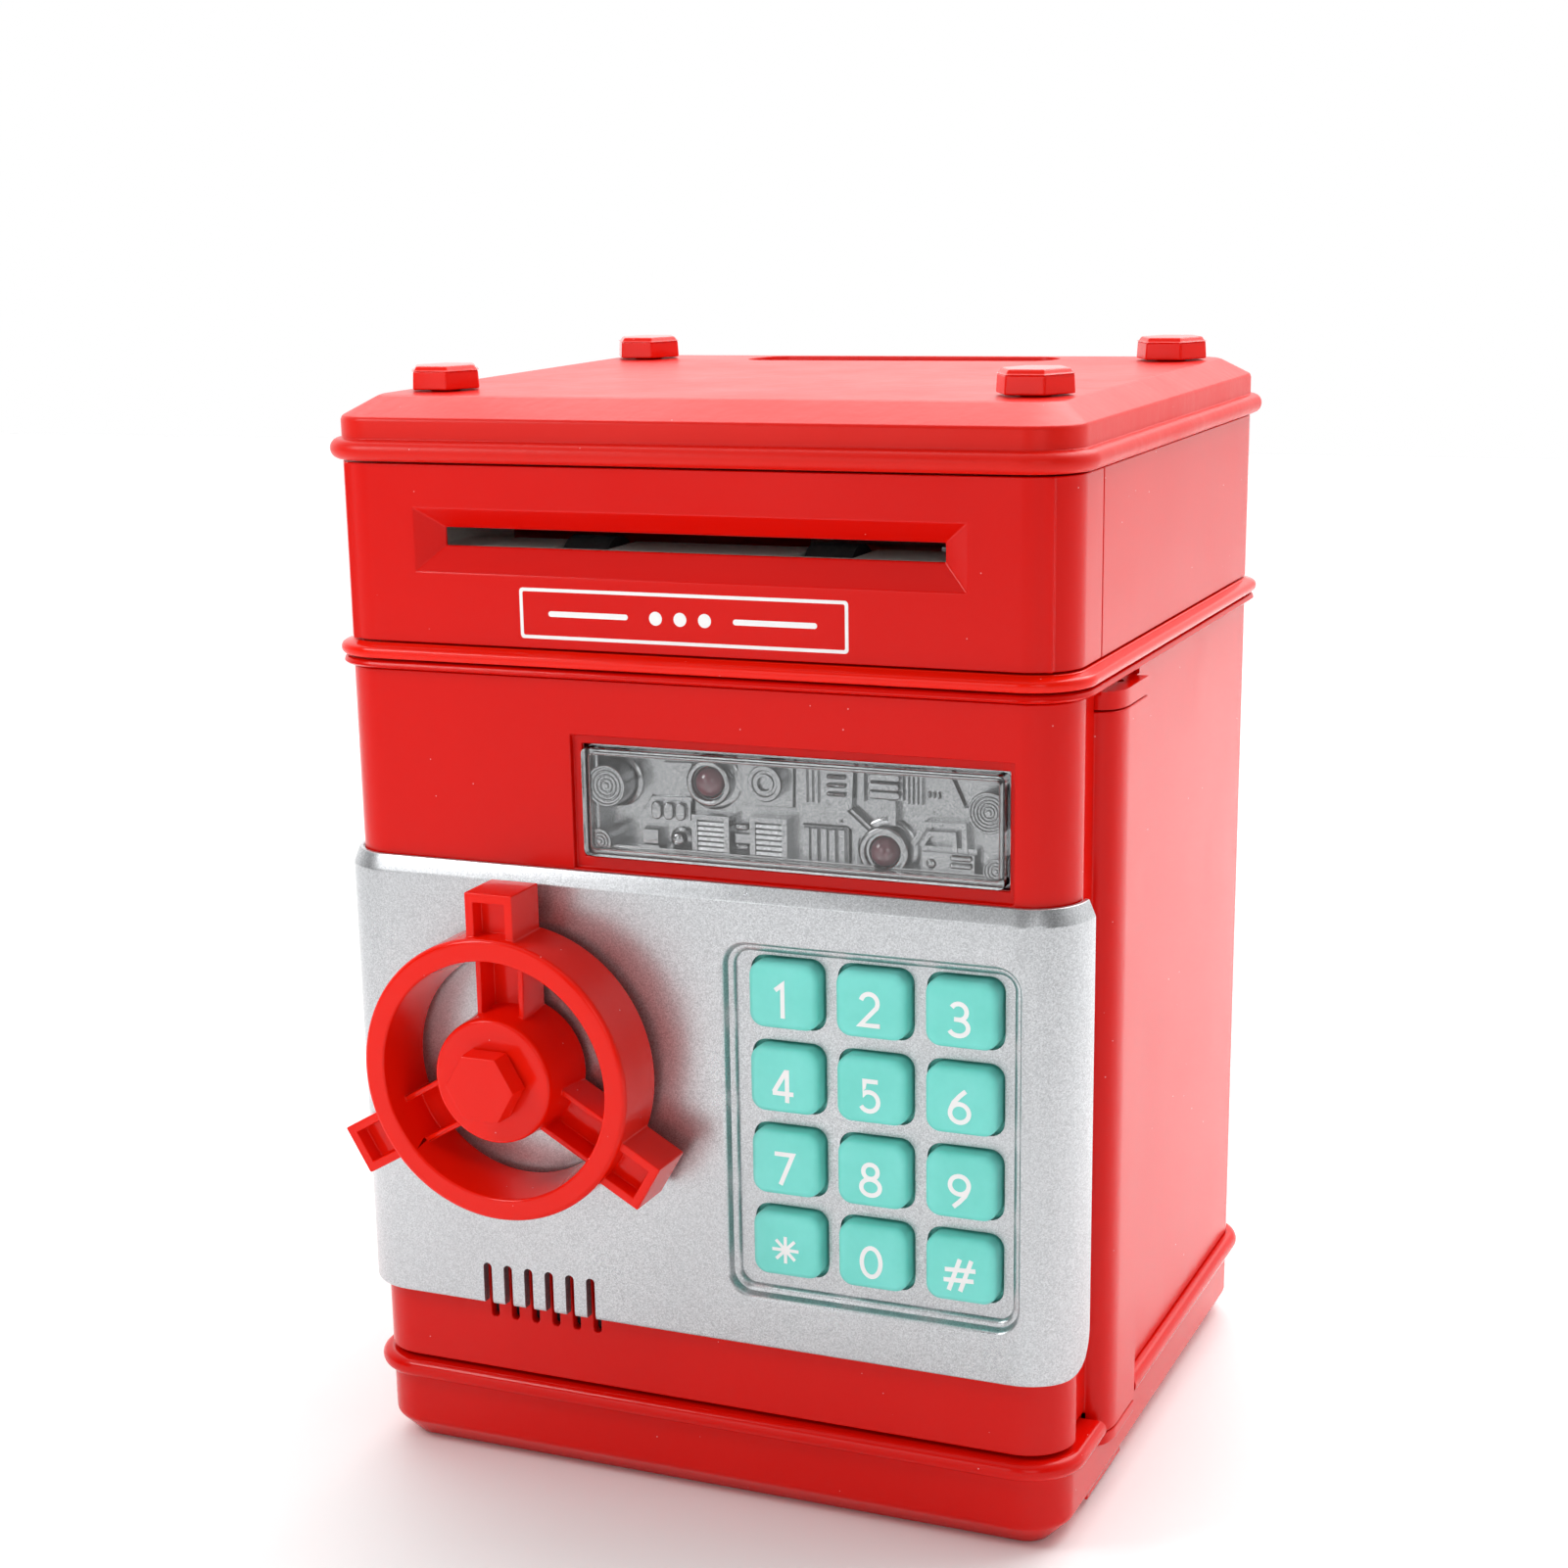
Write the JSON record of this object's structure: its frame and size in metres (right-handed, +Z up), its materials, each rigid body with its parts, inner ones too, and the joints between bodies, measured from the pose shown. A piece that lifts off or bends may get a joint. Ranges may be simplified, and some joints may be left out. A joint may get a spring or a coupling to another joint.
{
  "type": "safe coin bank",
  "caption": "Toy safe money box: upright cabinet with a hinged door, hand wheel that throws a lock bolt, keypad, display window, bill slot with feed rollers and a coin slot on top.",
  "frame": {"origin": "centre of the base plan on the underside plane, midway between the cabinet's side walls and midway between its front and back walls", "axes": "+Z up; the door faces -Y; +X towards the hinge side, to the right for someone looking at the door"},
  "size_m": [0.13, 0.1373, 0.1872],
  "materials": {
    "red_plastic": "glossy moulded",
    "bright_red_plastic": "glossy moulded",
    "silver_paint": "silver metallic paint",
    "turquoise_keys": "satin",
    "clear_lens": "clear polished",
    "lamp_plastic": "tinted, unlit",
    "steel": "plated",
    "black_rubber": "matt",
    "speaker_black": "matt",
    "white_plastic": "satin moulded",
    "key_mat_rubber": "matt",
    "circuit_board": "solder mask",
    "brass": "turned",
    "cell_sleeve": "printed sleeve"
  },
  "bodies": {
    "case": {"base_tray": "red_plastic", "battery_cover": "red_plastic", "battery_cover_screw": "steel", "battery_cell_1": "cell_sleeve", "battery_cell_2": "cell_sleeve", "battery_cell_3": "cell_sleeve", "battery_contact_left": "steel", "battery_contact_right": "steel", "case_shell": "red_plastic", "latch_strike": "steel", "hinge_pin_bottom": "steel", "hinge_pin_top": "steel", "middle_deck": "bright_red_plastic", "upper_shell": "red_plastic", "upper_fascia": "red_plastic", "top_cap": "red_plastic", "cap_bolt_front_left": "bright_red_plastic", "cap_bolt_front_right": "bright_red_plastic", "cap_bolt_back_left": "bright_red_plastic", "cap_bolt_back_right": "bright_red_plastic", "coin_chute": "white_plastic", "feed_frame": "white_plastic", "feed_motor": "steel"},
    "feed_roller": {"feed_shaft": "steel", "feed_tyre_left": "black_rubber", "feed_tyre_right": "black_rubber", "feed_gear": "white_plastic"},
    "idle_roller": {"pinch_roller": "white_plastic"},
    "motor_shaft": {"motor_pinion": "brass"},
    "door": {"door_shell": "red_plastic", "face_plate": "silver_paint", "door_back_cover": "red_plastic", "door_cover_screw_1": "steel", "door_cover_screw_2": "steel", "window_lens": "clear_lens", "window_panel": "silver_paint", "lamp_left": "lamp_plastic", "lamp_right": "lamp_plastic", "key_mat": "key_mat_rubber", "control_board": "circuit_board", "speaker": "speaker_black", "bolt_guide": "steel", "solenoid": "brass"},
    "wheel": {"hand_wheel": "bright_red_plastic", "wheel_nut": "bright_red_plastic", "latch_cam": "white_plastic"},
    "bolt": {"lock_bolt": "white_plastic"},
    "plunger": {"solenoid_pin": "steel"},
    "key_1_body": {"key_1": "turquoise_keys"},
    "key_2_body": {"key_2": "turquoise_keys"},
    "key_3_body": {"key_3": "turquoise_keys"},
    "key_4_body": {"key_4": "turquoise_keys"},
    "key_5_body": {"key_5": "turquoise_keys"},
    "key_6_body": {"key_6": "turquoise_keys"},
    "key_7_body": {"key_7": "turquoise_keys"},
    "key_8_body": {"key_8": "turquoise_keys"},
    "key_9_body": {"key_9": "turquoise_keys"},
    "key_star_body": {"key_star": "turquoise_keys"},
    "key_0_body": {"key_0": "turquoise_keys"},
    "key_hash_body": {"key_hash": "turquoise_keys"}
  },
  "joints": [
    {"name": "door_hinge", "type": "hinge", "parent": "case", "child": "door", "pos_m": [0.061, -0.0275, 0.075], "axis": [0, 0, 1], "range_deg": [0, 105]},
    {"name": "wheel_turn", "type": "hinge", "parent": "door", "child": "wheel", "pos_m": [-0.0289, -0.067, 0.0753], "axis": [0, -1, 0], "range_deg": [0, 60]},
    {"name": "bolt_slide", "type": "slide", "parent": "door", "child": "bolt", "axis": [-1, 0, 0], "range_m": [0, 0.006]},
    {"name": "plunger_slide", "type": "slide", "parent": "door", "child": "plunger", "axis": [0, 0, -1], "range_m": [0, 0.003], "stiffness_N_per_m": 20, "springref_m": -0.002},
    {"name": "feed_turn", "type": "hinge", "parent": "case", "child": "feed_roller", "pos_m": [0, -0.044, 0.1546], "axis": [1, 0, 0], "continuous": true},
    {"name": "motor_turn", "type": "hinge", "parent": "case", "child": "motor_shaft", "pos_m": [0, -0.0319, 0.1546], "axis": [1, 0, 0], "continuous": true},
    {"name": "idle_turn", "type": "hinge", "parent": "case", "child": "idle_roller", "pos_m": [0, -0.044, 0.1672], "axis": [1, 0, 0], "continuous": true},
    {"name": "key_1_press", "type": "slide", "parent": "door", "child": "key_1_body", "axis": [0, 1, 0], "range_m": [0, 0.0015], "stiffness_N_per_m": 300},
    {"name": "key_2_press", "type": "slide", "parent": "door", "child": "key_2_body", "axis": [0, 1, 0], "range_m": [0, 0.0015], "stiffness_N_per_m": 300},
    {"name": "key_3_press", "type": "slide", "parent": "door", "child": "key_3_body", "axis": [0, 1, 0], "range_m": [0, 0.0015], "stiffness_N_per_m": 300},
    {"name": "key_4_press", "type": "slide", "parent": "door", "child": "key_4_body", "axis": [0, 1, 0], "range_m": [0, 0.0015], "stiffness_N_per_m": 300},
    {"name": "key_5_press", "type": "slide", "parent": "door", "child": "key_5_body", "axis": [0, 1, 0], "range_m": [0, 0.0015], "stiffness_N_per_m": 300},
    {"name": "key_6_press", "type": "slide", "parent": "door", "child": "key_6_body", "axis": [0, 1, 0], "range_m": [0, 0.0015], "stiffness_N_per_m": 300},
    {"name": "key_7_press", "type": "slide", "parent": "door", "child": "key_7_body", "axis": [0, 1, 0], "range_m": [0, 0.0015], "stiffness_N_per_m": 300},
    {"name": "key_8_press", "type": "slide", "parent": "door", "child": "key_8_body", "axis": [0, 1, 0], "range_m": [0, 0.0015], "stiffness_N_per_m": 300},
    {"name": "key_9_press", "type": "slide", "parent": "door", "child": "key_9_body", "axis": [0, 1, 0], "range_m": [0, 0.0015], "stiffness_N_per_m": 300},
    {"name": "key_star_press", "type": "slide", "parent": "door", "child": "key_star_body", "axis": [0, 1, 0], "range_m": [0, 0.0015], "stiffness_N_per_m": 300},
    {"name": "key_0_press", "type": "slide", "parent": "door", "child": "key_0_body", "axis": [0, 1, 0], "range_m": [0, 0.0015], "stiffness_N_per_m": 300},
    {"name": "key_hash_press", "type": "slide", "parent": "door", "child": "key_hash_body", "axis": [0, 1, 0], "range_m": [0, 0.0015], "stiffness_N_per_m": 300}
  ],
  "couplings": [
    {"joint": "bolt_slide", "follows": "wheel_turn", "m_per_rad": 0.005729},
    {"joint": "motor_turn", "follows": "feed_turn", "ratio": -2.4}
  ]
}
